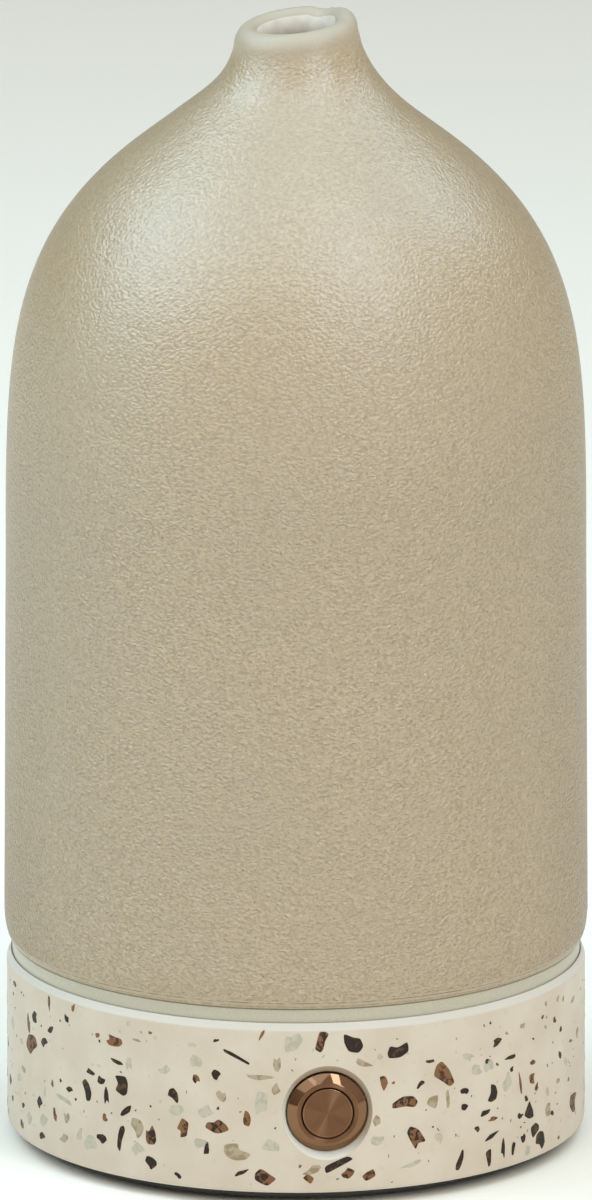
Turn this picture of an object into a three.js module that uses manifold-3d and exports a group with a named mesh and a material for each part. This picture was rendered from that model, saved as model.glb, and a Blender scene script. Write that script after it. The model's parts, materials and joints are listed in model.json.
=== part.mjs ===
// An ultrasonic essential oil diffuser: a lift-off ceramic cover over a water tank, on a cast terrazzo base
// that holds the electronics. Millimetres, +Z up, origin on the table at the centre of the four feet, and
// the power button faces -Y.
import * as THREE from "three";
import { mergeVertices } from "three/addons/utils/BufferGeometryUtils.js";
import Module from "manifold-3d";

const wasm = await Module();
wasm.setup();

// ---- Driving dimensions ----
const GAP = 0.3; // left between pieces that touch
const FINE = 40; // facets round a large turned piece
const MEDIUM = 16;
const COARSE = 8;

const PLATE_BOTTOM = 0.9; // underside of the bottom cover, above the table
const BASE_BOTTOM = 2.4; // underside of the terrazzo
const BASE_TOP = BASE_BOTTOM + 30;
const BASE_R = 50;
const BORE_R = 44; // inside of the terrazzo ring
const REBATE_R = 49.2; // step in its top edge, which holds the light ring
const REBATE_Z = BASE_TOP - 1.8;

const RING_R = REBATE_R - GAP;
const RING_TOP = BASE_TOP + 2.1;

const COVER_BOTTOM = RING_TOP + GAP;
const COVER_R = 50.4;
const COVER_WALL = 3.6;
const MOUTH_SLOPE = [0.115, 0.04]; // of the hand-cut mouth, along X and Y

const DECK_TOP = 29.4; // top of the chassis deck
const DECK_BOTTOM = DECK_TOP - 1.6;
const CHASSIS_R = 43.6;
const CHASSIS_WALL = 1.4;

const TANK_BOTTOM = DECK_TOP + GAP;
const TANK_FLOOR = TANK_BOTTOM + 2.5;
const TANK_RIM = 88.9;
const TANK_R = 40.2;
const TANK_BORE = 38.6;
const BOSS_R = 15.5; // round boss under the tank that holds the transducer
const BOSS_BOTTOM = 24.8;

const FAN_X = 27; // the fan, duct and air tower share this axis
const FAN_SIZE = 25;
const FAN_BOTTOM = 6.5;
const FAN_TOP = FAN_BOTTOM + 10;

const BOARD_X = -23;
const BOARD_BOTTOM = 8.2;
const BOARD_TOP = BOARD_BOTTOM + 1.4;

const SWITCH_Y = -50.3; // front plane of the push button
const SWITCH_Z = BASE_BOTTOM + 14.2;
const JACK_Z = 15.3;
const LED_LEAD_X = -40; // where the LED lead comes down through the deck

const SCREW_SPOTS = [66, 114, 246, 294].map((deg) => around(38, deg));
const FOOT_SPOTS = [40, 140, 220, 320].map((deg) => around(37.5, deg));
const FAN_HOLES = [[10, 10], [-10, -10]]; // about the fan's axis
const FAN_SCREW_SPOTS = FAN_HOLES.map(([x, y]) => [FAN_X + x, y]);

// ---- Materials ----
const material = (color, roughness, metalness = 0) =>
  new THREE.MeshStandardMaterial({ color, roughness, metalness });
const CERAMIC = material(0xb9ac90, 0.45);
const TERRAZZO = material(0xd8ccb8, 0.55);
const FROSTED = material(0xcdd6c4, 0.35);
const WHITE_PLASTIC = material(0xeeece6, 0.4);
const BLACK_PLASTIC = material(0x2b2826, 0.5);
const SILICONE = material(0xd9d5cb, 0.6);
const RUBBER = material(0x2a2a2c, 0.8);
const BRONZE = material(0x85604a, 0.25, 1);
const STEEL = material(0xb8bab8, 0.3, 1);
const BRASS = material(0xc9a55a, 0.3, 1);
const BOARD_GREEN = material(0x1f5a3a, 0.5);
const FOAM = material(0x4a4a4a, 0.95);

// ---- Shape helpers ----
function around(radius, deg) {
  const a = THREE.MathUtils.degToRad(deg);
  return [radius * Math.cos(a), radius * Math.sin(a)];
}

// Turns a closed [radius, height] outline, listed anticlockwise, about +Z.
function turned(outline, segments = MEDIUM) {
  const points = outline.map(([r, z]) => new THREE.Vector2(r, z));
  if (outline[0][0] > 0) points.push(points[0].clone());
  return new THREE.LatheGeometry(points, segments).rotateX(Math.PI / 2);
}

// A plain rod on the Z axis from z0 to z1.
function rod(radius, z0, z1, segments = MEDIUM) {
  const cylinder = new THREE.CylinderGeometry(radius, radius, z1 - z0, segments);
  return cylinder.rotateX(Math.PI / 2).translate(0, 0, (z0 + z1) / 2);
}

// The same small rod at each of some spots.
const rodsAt = (spots, radius, z0, z1) =>
  spots.map(([x, y]) => rod(radius, z0, z1, COARSE).translate(x, y, 0));

// A washer or sleeve.
const sleeve = (inner, outer, z0, z1, segments = MEDIUM) =>
  turned([[inner, z0], [outer, z0], [outer, z1], [inner, z1]], segments);

const box = (x0, x1, y0, y1, z0, z1) =>
  new THREE.BoxGeometry(x1 - x0, y1 - y0, z1 - z0).translate((x0 + x1) / 2, (y0 + y1) / 2, (z0 + z1) / 2);

// Points of a cubic Bezier from a to d, without its first point.
function bezier([a, b, c, d], steps) {
  const curve = new THREE.CubicBezierCurve(...[a, b, c, d].map(([r, z]) => new THREE.Vector2(r, z)));
  return curve.getPoints(steps).slice(1).map((p) => [p.x, p.y]);
}

// Points of a quarter ellipse about [r, z], from angle a0 to a1 in degrees.
function arc([r, z], width, height, a0, a1, steps) {
  return Array.from({ length: steps + 1 }, (_, i) => {
    const a = THREE.MathUtils.degToRad(a0 + ((a1 - a0) * i) / steps);
    return [r + width * Math.cos(a), z + height * Math.sin(a)];
  });
}

// Moves an open outline sideways by a distance, to the left of its direction.
function offset(outline, distance) {
  return outline.map(([r, z], i) => {
    const [r0, z0] = outline[Math.max(i - 1, 0)];
    const [r1, z1] = outline[Math.min(i + 1, outline.length - 1)];
    const length = Math.hypot(r1 - r0, z1 - z0);
    return [r - ((z1 - z0) / length) * distance, z + ((r1 - r0) / length) * distance];
  });
}

function solid(geometry) {
  const bare = geometry.index ? geometry.toNonIndexed() : geometry.clone();
  bare.deleteAttribute("normal");
  bare.deleteAttribute("uv");
  const merged = mergeVertices(bare, 1e-3);
  return new wasm.Manifold(
    new wasm.Mesh({
      numProp: 3,
      vertProperties: merged.attributes.position.array,
      triVerts: new Uint32Array(merged.index.array),
    }),
  );
}

// The first geometry with others added to it and then others cut from it.
function built(first, { add = [], cut = [] }) {
  let shape = solid(first);
  for (const g of add) shape = shape.add(solid(g));
  for (const g of cut) shape = shape.subtract(solid(g));
  const mesh = shape.getMesh();
  return new THREE.BufferGeometry()
    .setAttribute("position", new THREE.BufferAttribute(mesh.vertProperties, 3))
    .setIndex(new THREE.BufferAttribute(mesh.triVerts, 1));
}

const throughPoints = (points) => new THREE.CatmullRomCurve3(points.map((p) => new THREE.Vector3(...p)));

// A round wire or lead along a curve.
function tube(curve, radius, steps, sides = 8) {
  const section = new THREE.Shape(
    Array.from({ length: sides }, (_, i) => new THREE.Vector2(...around(radius, (360 * i) / sides))),
  );
  return new THREE.ExtrudeGeometry(section, { steps, extrudePath: curve, bevelEnabled: false });
}

// The centre line of a coil spring of a given radius and number of turns.
class Helix extends THREE.Curve {
  constructor(radius, turns, z0, z1) {
    super();
    Object.assign(this, { radius, turns, z0, z1 });
  }

  getPoint(t, target = new THREE.Vector3()) {
    const a = 2 * Math.PI * this.turns * t;
    const z = this.z0 + (this.z1 - this.z0) * t;
    return target.set(this.radius * Math.cos(a), this.radius * Math.sin(a), z);
  }
}

const diffuser = new THREE.Group();

function piece(name, geometry, finish, parent = diffuser) {
  const mesh = new THREE.Mesh(geometry, finish);
  mesh.name = name;
  parent.add(mesh);
  return mesh;
}

// ---- Lift-off pieces ----
function ceramicCover() {
  const foot = arc([COVER_R - 1.5, COVER_BOTTOM + 5.5], 1.5, 5.5, -90, 0, 3);
  const wallTop = [49.9, 104.8];
  const shoulder = [27.1, 175];
  const neck = [10.6, 193];
  const outside = [
    ...foot,
    wallTop,
    ...bezier([wallTop, [49.8, 140.1], [49.3, 157.8], shoulder], 7),
    ...bezier([shoulder, [16.7, 183], [12.4, 185.8], neck], 4),
  ];
  const lip = [...arc([8.35, 193], 2.25, 3.3, 30, 180, 4), [6.2, 190.5]];
  const inside = offset(outside.slice(foot.length - 1, -1), COVER_WALL).reverse();
  const shell = turned([...outside, ...lip, ...inside, [COVER_R - COVER_WALL, COVER_BOTTOM]], FINE);
  const place = shell.getAttribute("position");
  for (let i = 0; i < place.count; i++) {
    const share = THREE.MathUtils.smoothstep(place.getZ(i), 180, 193);
    const lift = MOUTH_SLOPE[0] * place.getX(i) + MOUTH_SLOPE[1] * place.getY(i);
    place.setZ(i, place.getZ(i) + share * lift);
  }
  piece("ceramic_cover", shell, CERAMIC);
}

function mistHood() {
  const seat = TANK_RIM + GAP;
  const plugR = 36.9;
  const dome = bezier([[38, seat + 1.8], [38, 108], [15, 110], [9.4, 124]], 5);
  const spoutTop = 183.5;
  const domeInside = offset([[38, seat + 1.8], ...dome], 1.6).reverse();
  piece(
    "mist_hood",
    turned(
      [
        [plugR - 1.4, seat - 9.2],
        [plugR, seat - 9.2],
        [plugR, seat],
        [TANK_R, seat],
        [TANK_R, seat + 1.8],
        [38, seat + 1.8],
        ...dome,
        [7.6, spoutTop],
        [6, spoutTop],
        ...domeInside.slice(0, -1),
        [plugR - 1.4, seat + 1],
      ],
      32,
    ),
    WHITE_PLASTIC,
  );
  piece("hood_seal", sleeve(plugR + 0.2, TANK_BORE - 0.2, seat - 6.4, seat - 4, 32), SILICONE);
}

// ---- Base shell ----
function terrazzoBase() {
  const ring = turned(
    [
      [BORE_R, BASE_BOTTOM],
      [BASE_R - 0.7, BASE_BOTTOM],
      [BASE_R, BASE_BOTTOM + 0.7],
      [BASE_R, BASE_TOP - 1.4],
      [BASE_R - 0.6, BASE_TOP],
      [REBATE_R, BASE_TOP],
      [REBATE_R, REBATE_Z],
      [BORE_R, REBATE_Z],
    ],
    48,
  );
  const alongY = (g, z) => g.rotateX(Math.PI / 2).translate(0, 0, z);
  piece(
    "terrazzo_base",
    built(ring, {
      cut: [
        alongY(rod(6.2, 40, 52), SWITCH_Z),
        alongY(rod(7.1, 47.6, 52), SWITCH_Z),
        alongY(turned([[0, 48.7], [7.1, 48.7], [8.6, 50.2], [8.6, 52], [0, 52]]), SWITCH_Z),
        alongY(rod(4.4, -52, -40), JACK_Z),
        alongY(rod(5.6, -52, -48.2), JACK_Z),
      ],
    }),
    TERRAZZO,
  );
}

function lightRing() {
  const bottom = REBATE_Z + GAP;
  const lid = RING_TOP - 1.5;
  piece(
    "light_ring",
    turned(
      [
        [BORE_R, bottom],
        [RING_R, bottom],
        [RING_R, RING_TOP],
        [46.2, RING_TOP],
        [46.2, RING_TOP + 3.5],
        [44.8, RING_TOP + 3.5],
        [44.8, RING_TOP],
        [40.7, RING_TOP],
        [40.7, lid],
        [BORE_R, lid],
      ],
      FINE,
    ),
    FROSTED,
  );
  const boardTop = DECK_TOP + GAP + 0.8;
  piece("led_ring_board", sleeve(40.7, 43.3, DECK_TOP + GAP, boardTop, 32), BOARD_GREEN);
  for (let i = 0; i < 6; i++) {
    const body = box(41, 43, -1.4, 1.4, boardTop + 0.2, boardTop + 1.5);
    const led = piece(`led_${i + 1}`, body, WHITE_PLASTIC);
    led.rotation.z = THREE.MathUtils.degToRad(30 + 60 * i);
  }
}

function bottomCover() {
  const plateTop = PLATE_BOTTOM + 2;
  const rim = 4.7;
  const plate = turned(
    [
      [0, PLATE_BOTTOM],
      [47.4, PLATE_BOTTOM],
      [47.4, BASE_BOTTOM - GAP],
      [43.4, BASE_BOTTOM - GAP],
      [43.4, rim],
      [41.8, rim],
      [41.8, plateTop],
      [0, plateTop],
    ],
    FINE,
  );
  const slots = [-8, -4, 0, 4, 8].map((x) => {
    const half = Math.sqrt(10.5 ** 2 - x ** 2);
    return box(FAN_X + x - 1, FAN_X + x + 1, -half, half, 0, 4);
  });
  const post = (x, y, top) => rod(2.2, plateTop - 0.2, top, COARSE).translate(x, y, 0);
  piece(
    "bottom_cover",
    built(plate, {
      add: [
        ...FAN_SCREW_SPOTS.map(([x, y]) => post(x, y, FAN_BOTTOM - GAP)),
        ...[[-33, -10], [-13, 10]].map(([x, y]) => post(x, y, BOARD_BOTTOM - GAP)),
        box(-3.5, 3.5, 32, 40, plateTop - 0.2, JACK_Z - 5.5 - GAP),
      ],
      cut: [
        ...slots,
        ...SCREW_SPOTS.flatMap(([x, y]) => [
          rod(1.5, 0, 4, COARSE).translate(x, y, 0),
          rod(3, 0, PLATE_BOTTOM + 1.1, COARSE).translate(x, y, 0),
        ]),
        ...FOOT_SPOTS.map(([x, y]) => rod(5.3, 0, PLATE_BOTTOM + 0.5).translate(x, y, 0)),
        ...FAN_SCREW_SPOTS.map(([x, y]) => rod(0.9, 4, 8, COARSE).translate(x, y, 0)),
      ],
    }),
    BLACK_PLASTIC,
  );
  FOOT_SPOTS.forEach(([x, y], i) => {
    piece(`rubber_foot_${i + 1}`, rod(5, 0, PLATE_BOTTOM + GAP), RUBBER).position.set(x, y, 0);
  });
  SCREW_SPOTS.forEach(([x, y], i) => {
    piece(`case_screw_${i + 1}`, screw(2.7, 0.8, 1.2, 12), STEEL).position.set(x, y, PLATE_BOTTOM + 0.1);
  });
  piece("intake_filter", rod(11.4, plateTop + GAP, FAN_BOTTOM - 0.5), FOAM).position.x = FAN_X;
}

// A screw with its head at z 0 and its shank upwards.
function screw(headR, headHeight, shankR, length) {
  return turned(
    [
      [0, 0],
      [headR * 0.8, 0],
      [headR, headHeight / 2],
      [headR, headHeight],
      [shankR, headHeight],
      [shankR, length - shankR],
      [0, length],
    ],
    COARSE,
  );
}

function chassis() {
  const bottom = 5;
  const inner = CHASSIS_R - CHASSIS_WALL;
  const can = turned(
    [
      [inner, bottom],
      [CHASSIS_R, bottom],
      [CHASSIS_R, DECK_TOP],
      [BOSS_R + 0.4, DECK_TOP],
      [BOSS_R + 0.4, DECK_BOTTOM],
      [inner, DECK_BOTTOM],
    ],
    FINE,
  );
  piece(
    "chassis",
    built(can, {
      add: SCREW_SPOTS.map(([x, y]) => rod(3.2, bottom, DECK_BOTTOM + 0.2, COARSE).translate(x, y, 0)),
      cut: [
        ...SCREW_SPOTS.map(([x, y]) => rod(1.5, bottom - 1, 20, COARSE).translate(x, y, 0)),
        rod(8.4, DECK_BOTTOM - 1, DECK_TOP + 1).translate(FAN_X, 0, 0),
        rod(1.1, DECK_BOTTOM - 1, DECK_TOP + 1, COARSE).translate(LED_LEAD_X, 0, 0),
        box(-11, 11, -45, -38, bottom - 1, 27),
        box(-9, 9, 38, 45, bottom - 1, 24),
      ],
    }),
    WHITE_PLASTIC,
  );
}

// ---- Tank and atomiser ----
function waterTank() {
  const seatR = 12;
  const seatTop = BOSS_BOTTOM + 3;
  const fillLine = 54.5;
  const bowl = turned(
    [
      [seatR, BOSS_BOTTOM],
      [BOSS_R, BOSS_BOTTOM],
      [BOSS_R, TANK_BOTTOM],
      [TANK_R, TANK_BOTTOM],
      [TANK_R, TANK_RIM],
      [TANK_BORE, TANK_RIM],
      [TANK_BORE, fillLine + 0.5],
      [TANK_BORE - 0.5, fillLine],
      [TANK_BORE, fillLine - 0.5],
      [TANK_BORE, TANK_FLOOR + 2],
      [TANK_BORE - 2, TANK_FLOOR],
      [14, TANK_FLOOR],
      [8.4, seatTop + 1.6],
      [8.4, seatTop],
      [seatR, seatTop],
    ],
    FINE,
  );
  const towerTop = 72;
  piece(
    "water_tank",
    built(bowl, {
      add: [rod(8, TANK_BOTTOM + 0.5, towerTop).translate(FAN_X, 0, 0)],
      cut: [
        rod(6.4, TANK_BOTTOM - 1, towerTop + 1).translate(FAN_X, 0, 0),
        ...rodsAt(clampSpots(), 1, BOSS_BOTTOM - 1, BOSS_BOTTOM + 3.2),
      ],
    }),
    WHITE_PLASTIC,
  );
}

function clampSpots() {
  return [90, 210, 330].map((deg) => around(13.75, deg));
}

function transducer() {
  piece("transducer_gasket", sleeve(8.6, 11.7, BOSS_BOTTOM + 1.8, BOSS_BOTTOM + 2.8), SILICONE);
  piece("transducer_disc", rod(10.4, BOSS_BOTTOM + 0.6, BOSS_BOTTOM + 1.6), STEEL);
  const clampTop = BOSS_BOTTOM - 0.2;
  const clamp = turned([
    [5, clampTop - 1.4],
    [15.3, clampTop - 1.4],
    [15.3, clampTop],
    [11.4, clampTop],
    [11.4, clampTop + 0.6],
    [8, clampTop + 0.6],
    [8, clampTop],
    [5, clampTop],
  ]);
  piece(
    "transducer_clamp",
    built(clamp, { cut: rodsAt(clampSpots(), 1, clampTop - 2, clampTop + 1) }),
    BRASS,
  );
  clampSpots().forEach(([x, y], i) => {
    const spot = piece(`clamp_screw_${i + 1}`, screw(1.7, 0.9, 0.75, 5), STEEL);
    spot.position.set(x, y, clampTop - 1.4 - 0.9 - 0.2);
  });
}

// ---- Air path ----
function fan() {
  const half = FAN_SIZE / 2;
  const hubTop = FAN_BOTTOM + 1.4;
  const frame = built(box(-half, half, -half, half, FAN_BOTTOM, FAN_TOP), {
    cut: [rod(11.2, FAN_BOTTOM - 1, FAN_TOP + 1, 24)],
  });
  const struts = [90, 210, 330].map((deg) =>
    box(0, 11.6, -0.9, 0.9, FAN_BOTTOM, hubTop).rotateZ(THREE.MathUtils.degToRad(deg)),
  );
  piece(
    "fan_frame",
    built(frame, {
      add: [rod(5.2, FAN_BOTTOM, hubTop), ...struts],
      cut: rodsAt(FAN_HOLES, 1.3, FAN_BOTTOM - 1, FAN_TOP + 1),
    }),
    BLACK_PLASTIC,
  ).position.x = FAN_X;
  piece("fan_stator", sleeve(1.3, 3.9, hubTop + GAP, hubTop + 5.6), BRASS).position.x = FAN_X;

  const cupBottom = hubTop + 0.9;
  const cupTop = FAN_TOP - 0.7;
  const cup = turned([
    [0, hubTop + GAP],
    [0.9, hubTop + GAP],
    [0.9, cupTop - 1.2],
    [4.6, cupTop - 1.2],
    [4.6, cupBottom],
    [5.6, cupBottom],
    [5.6, cupTop],
    [0, cupTop],
  ]);
  const bladeCount = 7;
  const bladePitch = THREE.MathUtils.degToRad(42);
  const blades = Array.from({ length: bladeCount }, (_, i) =>
    box(5.2, 10.6, -0.5, 0.5, -3.6, 3.6)
      .rotateX(bladePitch)
      .rotateZ((2 * Math.PI * i) / bladeCount)
      .translate(0, 0, (cupBottom + cupTop) / 2),
  );
  piece("fan_impeller", built(cup, { add: blades }), BLACK_PLASTIC).position.x = FAN_X;
  FAN_SCREW_SPOTS.forEach(([x, y], i) => {
    const spot = piece(`fan_screw_${i + 1}`, screw(1.9, 1.2, 0.7, 12.6).rotateX(Math.PI), STEEL);
    spot.position.set(x, y, FAN_TOP + 1.2 + 0.2);
  });
}

function airDuct() {
  const bottom = FAN_TOP + GAP;
  const outside = [[11.8, bottom], [11.8, bottom + 1.2], [11, bottom + 1.8], [7.8, 24.5], [7.8, DECK_TOP]];
  const inside = [[6.4, DECK_TOP], [6.4, 24.2], [10, bottom + 1.2], [10.4, bottom]];
  const duct = built(turned([...outside, ...inside]), {
    cut: rodsAt(FAN_HOLES, 2.6, bottom - 1, bottom + 3),
  });
  piece("air_duct", duct, WHITE_PLASTIC).position.x = FAN_X;
}

// ---- Electronics ----
function electronics() {
  const foot = BOARD_TOP + 0.2;
  piece("main_board", box(BOARD_X - 14, BOARD_X + 14, -18, 18, BOARD_BOTTOM, BOARD_TOP), BOARD_GREEN);
  const coil = turned([
    [0, foot],
    [4.2, foot],
    [4.2, foot + 1.2],
    [3.3, foot + 1.6],
    [3.3, foot + 5.6],
    [4.2, foot + 6],
    [4.2, foot + 7],
    [0, foot + 7],
  ]);
  piece("driver_coil", coil, BLACK_PLASTIC).position.set(-31, 8, 0);
  piece("capacitor_large", capacitor(4, 10.5, foot), BLACK_PLASTIC).position.set(-20.5, 12, 0);
  piece("capacitor_small", capacitor(2.5, 6.5, foot), BLACK_PLASTIC).position.set(-22.5, 3.5, 0);
  piece(
    "heat_sink",
    built(box(-34.5, -28.5, -15, -3, foot, foot + 10), {
      cut: [-12.6, -9.8, -7, -4.2].map((y) => box(-35, -30.5, y - 0.8, y + 0.8, foot - 1, foot + 11)),
    }),
    STEEL,
  );
  piece("driver_transistor", box(-28.2, -24.2, -13.5, -4.5, foot, foot + 9), BLACK_PLASTIC);
  piece("controller_chip", box(-19.5, -14.5, -5.5, 1.5, foot, foot + 1.6), BLACK_PLASTIC);
  const plugs = { switch: [-12.5, -15], transducer: [-20, -15], fan: [-12, -8.5], power: [-12, 15] };
  for (const [name, [x, y]] of Object.entries(plugs)) {
    const socket = built(box(-2.4, 2.4, -2, 2, foot, foot + 5), {
      cut: [box(-1.8, 1.8, -1.4, 1.4, foot + 1.2, foot + 6)],
    });
    piece(`${name}_connector`, socket, WHITE_PLASTIC).position.set(x, y, 0);
  }
}

// A can with a rolled groove near its foot.
function capacitor(radius, height, z) {
  return turned([
    [0, z],
    [radius, z],
    [radius, z + 1],
    [radius - 0.4, z + 1.5],
    [radius, z + 2],
    [radius, z + height - 0.5],
    [radius - 0.5, z + height],
    [0, z + height],
  ]);
}

function powerInlet() {
  const face = 48;
  const alongY = (g) => g.rotateX(-Math.PI / 2).translate(0, 0, JACK_Z);
  piece(
    "dc_jack",
    built(box(-4.6, 4.6, 29.5, 43.2, JACK_Z - 5.5, JACK_Z + 5.5), {
      add: [alongY(rod(4.1, 42, face))],
      cut: [alongY(rod(2.9, 35, face + 1))],
    }),
    BLACK_PLASTIC,
  );
  piece("jack_pin", alongY(rod(1, 35.2, face - 1.2, COARSE)), STEEL);
}

// ---- Power switch: drawn along +Z with its front plane at 0, then turned to face -Y ----
function powerSwitch() {
  const unit = new THREE.Group();
  unit.rotation.x = Math.PI / 2;
  unit.position.set(0, SWITCH_Y, SWITCH_Z);
  diffuser.add(unit);
  const barrel = turned(
    [
      [2.4, -18],
      [5.9, -18],
      [5.9, -2],
      [6.9, -2],
      [6.9, -1.1],
      [5.35, 0],
      [4.7, 0],
      [4.55, -0.25],
      [4.55, -8],
      [2.4, -8],
    ],
    MEDIUM,
  );
  piece("switch_barrel", barrel, BRONZE, unit);
  const cap = turned(
    [
      [0, -11],
      [2.1, -11],
      [2.1, -2.4],
      [4.35, -2.4],
      [4.35, -0.35],
      [4.2, -0.1],
      [0, -0.15],
    ],
    MEDIUM,
  );
  piece("button_cap", cap, BRONZE, unit);
  piece("switch_spring", tube(new Helix(3.3, 4, -7.5, -2.9), 0.3, 40, 6), STEEL, unit);
  piece("switch_seal", sleeve(6.2, 6.9, -2.6, -2.1), RUBBER, unit);
  const nut = built(rod(8.1, -10.4, -7.4, 6), { cut: [rod(6.15, -11, -7)] });
  piece("switch_nut", nut, STEEL, unit);
  piece(
    "switch_contact_block",
    built(rod(5.4, -23, -18.3), {
      add: [box(-3, -2.2, -1.2, 1.2, -26.5, -22.5), box(2.2, 3, -1.2, 1.2, -26.5, -22.5)],
    }),
    BLACK_PLASTIC,
    unit,
  );
}

// ---- Leads held inside the base ----
function leads() {
  const fanSide = FAN_X - 12.9;
  const routes = {
    transducer: [
      [-2, -1, 25], [-2.5, -2, 21], [-9, -8, 20],
      [-17, -14, 19.5], [-20, -15, 16.5], [-20, -15, 11.8],
    ],
    fan: [
      [fanSide, -4, 10.5], [10, -4.5, 10.5], [2, -6, 13],
      [-6, -8, 17], [-12, -8.5, 16.5], [-12, -8.5, 11.8],
    ],
    switch: [
      [0, -26.8, SWITCH_Z], [-0.5, -23, SWITCH_Z], [-6, -18, 19],
      [-12.5, -15, 17], [-12.5, -15, 11.8],
    ],
    power: [[-2, 29.2, 13], [-3, 26, 14], [-7, 18, 18], [-12, 15, 17], [-12, 15, 11.8]],
    led: [[LED_LEAD_X, 0, DECK_TOP], [LED_LEAD_X, 0, 24], [-38.5, 0, 18], [-36, 0, 13], [-34.5, 0, 10]],
  };
  for (const [name, route] of Object.entries(routes)) {
    piece(`${name}_lead`, tube(throughPoints(route), 0.7, 12), SILICONE);
  }
}

ceramicCover();
mistHood();
terrazzoBase();
lightRing();
bottomCover();
chassis();
waterTank();
transducer();
fan();
airDuct();
electronics();
powerInlet();
powerSwitch();
leads();

export default diffuser;
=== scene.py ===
"""An ultrasonic essential oil diffuser: a stoneware cover on a terrazzo base, in a small pale studio.

Lengths in this file are millimetres and turn into metres only where a mesh, light or texture is made.
"""

import bmesh
import bpy
import json
import math
import random
from mathutils import Matrix, Vector


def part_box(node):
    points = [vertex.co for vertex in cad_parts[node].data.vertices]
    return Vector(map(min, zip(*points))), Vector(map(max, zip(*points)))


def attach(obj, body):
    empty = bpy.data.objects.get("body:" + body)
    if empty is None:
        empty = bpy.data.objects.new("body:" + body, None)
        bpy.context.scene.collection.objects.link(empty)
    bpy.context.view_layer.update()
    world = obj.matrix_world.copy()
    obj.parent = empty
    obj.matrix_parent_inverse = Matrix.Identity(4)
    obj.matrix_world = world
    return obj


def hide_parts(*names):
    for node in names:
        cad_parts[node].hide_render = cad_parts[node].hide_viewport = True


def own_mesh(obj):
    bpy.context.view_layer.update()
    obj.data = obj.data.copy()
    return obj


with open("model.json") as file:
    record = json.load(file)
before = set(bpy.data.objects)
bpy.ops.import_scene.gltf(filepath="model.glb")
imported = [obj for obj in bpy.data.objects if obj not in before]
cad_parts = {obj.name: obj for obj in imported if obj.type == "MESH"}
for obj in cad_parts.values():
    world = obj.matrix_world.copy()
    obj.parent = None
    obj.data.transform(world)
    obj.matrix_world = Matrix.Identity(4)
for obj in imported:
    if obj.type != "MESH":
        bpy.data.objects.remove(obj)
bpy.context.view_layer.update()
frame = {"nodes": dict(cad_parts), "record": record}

MM = 0.001
GAP = 0.3  # the clearance that the CAD pieces keep


def box_mm(node):
    """The low and high corners of a CAD node's box."""
    low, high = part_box(node)
    return low / MM, high / MM


def middle_mm(node):
    low, high = box_mm(node)
    return (low + high) / 2


# ---- Driving dimensions, from the frame ----
base_low, base_high = box_mm("terrazzo_base")
cover_low, cover_high = box_mm("ceramic_cover")
ring_low, ring_high = box_mm("light_ring")
hood_low, hood_high = box_mm("mist_hood")
tank_low, tank_high = box_mm("water_tank")
plate_low, plate_high = box_mm("bottom_cover")
barrel_low, barrel_high = box_mm("switch_barrel")
spring_low, spring_high = box_mm("switch_spring")
jack_low, jack_high = box_mm("dc_jack")
fan_low, fan_high = box_mm("fan_frame")
deck_top = box_mm("chassis")[1].z

BASE_R = base_high.x
BASE_BOTTOM = base_low.z
BASE_TOP = base_high.z
BORE_R = BASE_R - 6
REBATE_R = BASE_R - 0.8
COVER_R = cover_high.x
COVER_BOTTOM = cover_low.z
COVER_WALL = 3.6
MOUTH_SLOPE = (0.115, 0.04)  # of the hand-cut mouth, along X and Y
NECK_Z = COVER_BOTTOM + 158.2  # where the neck rolls over into the lip
UPSTAND = 3.5
RING_R = ring_high.x
RING_TOP = ring_high.z - UPSTAND
FAN_X = (fan_low.x + fan_high.x) / 2
SWITCH_Y = barrel_low.y
SWITCH_Z = (barrel_low.z + barrel_high.z) / 2
JACK_Z = (jack_low.z + jack_high.z) / 2
SCREW_ANGLES = (66, 114, 246, 294)
SCREW_CIRCLE = 38
FACING_FRONT = Matrix.Rotation(math.pi / 2, 4, "X")
FACING_BACK = Matrix.Rotation(-math.pi / 2, 4, "X")


# ---- Outlines: lists of (radius, height) ----
def bezier(a, b, c, d, steps):
    """Points of a cubic Bezier from a to d, without its first point."""
    points = []
    for i in range(1, steps + 1):
        t = i / steps
        weights = ((1 - t) ** 3, 3 * t * (1 - t) ** 2, 3 * t * t * (1 - t), t**3)
        points.append(tuple(sum(w * p[k] for w, p in zip(weights, (a, b, c, d))) for k in (0, 1)))
    return points


def arc(center, width, height, start, end, steps):
    """Points of a stretch of ellipse, from angle start to end in degrees."""
    angles = [math.radians(start + (end - start) * i / steps) for i in range(steps + 1)]
    return [(center[0] + width * math.cos(a), center[1] + height * math.sin(a)) for a in angles]


def offset(outline, distance):
    """An open outline moved sideways, to the left of its direction."""
    moved = []
    for i, (r, z) in enumerate(outline):
        before = Vector(outline[max(i - 1, 0)])
        after = Vector(outline[min(i + 1, len(outline) - 1)])
        along = (after - before).normalized()
        moved.append((r - along.y * distance, z + along.x * distance))
    return moved


def rounded(corners, radius=0.3):
    """A closed outline with its corners rounded; a third number at a corner sets its own radius."""
    steps = 4
    points = []
    for i, corner in enumerate(corners):
        here = Vector(corner[:2])
        reach = corner[2] if len(corner) > 2 else radius
        if reach == 0 or here.x == 0:
            points.append(tuple(here))
            continue
        ends = []
        for other in (corners[i - 1], corners[(i + 1) % len(corners)]):
            side = Vector(other[:2]) - here
            ends.append(here + side.normalized() * min(reach, side.length * 0.49))
        for step in range(steps + 1):
            t = step / steps
            points.append(tuple(ends[0] * (1 - t) ** 2 + here * 2 * t * (1 - t) + ends[1] * t * t))
    return points


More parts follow.
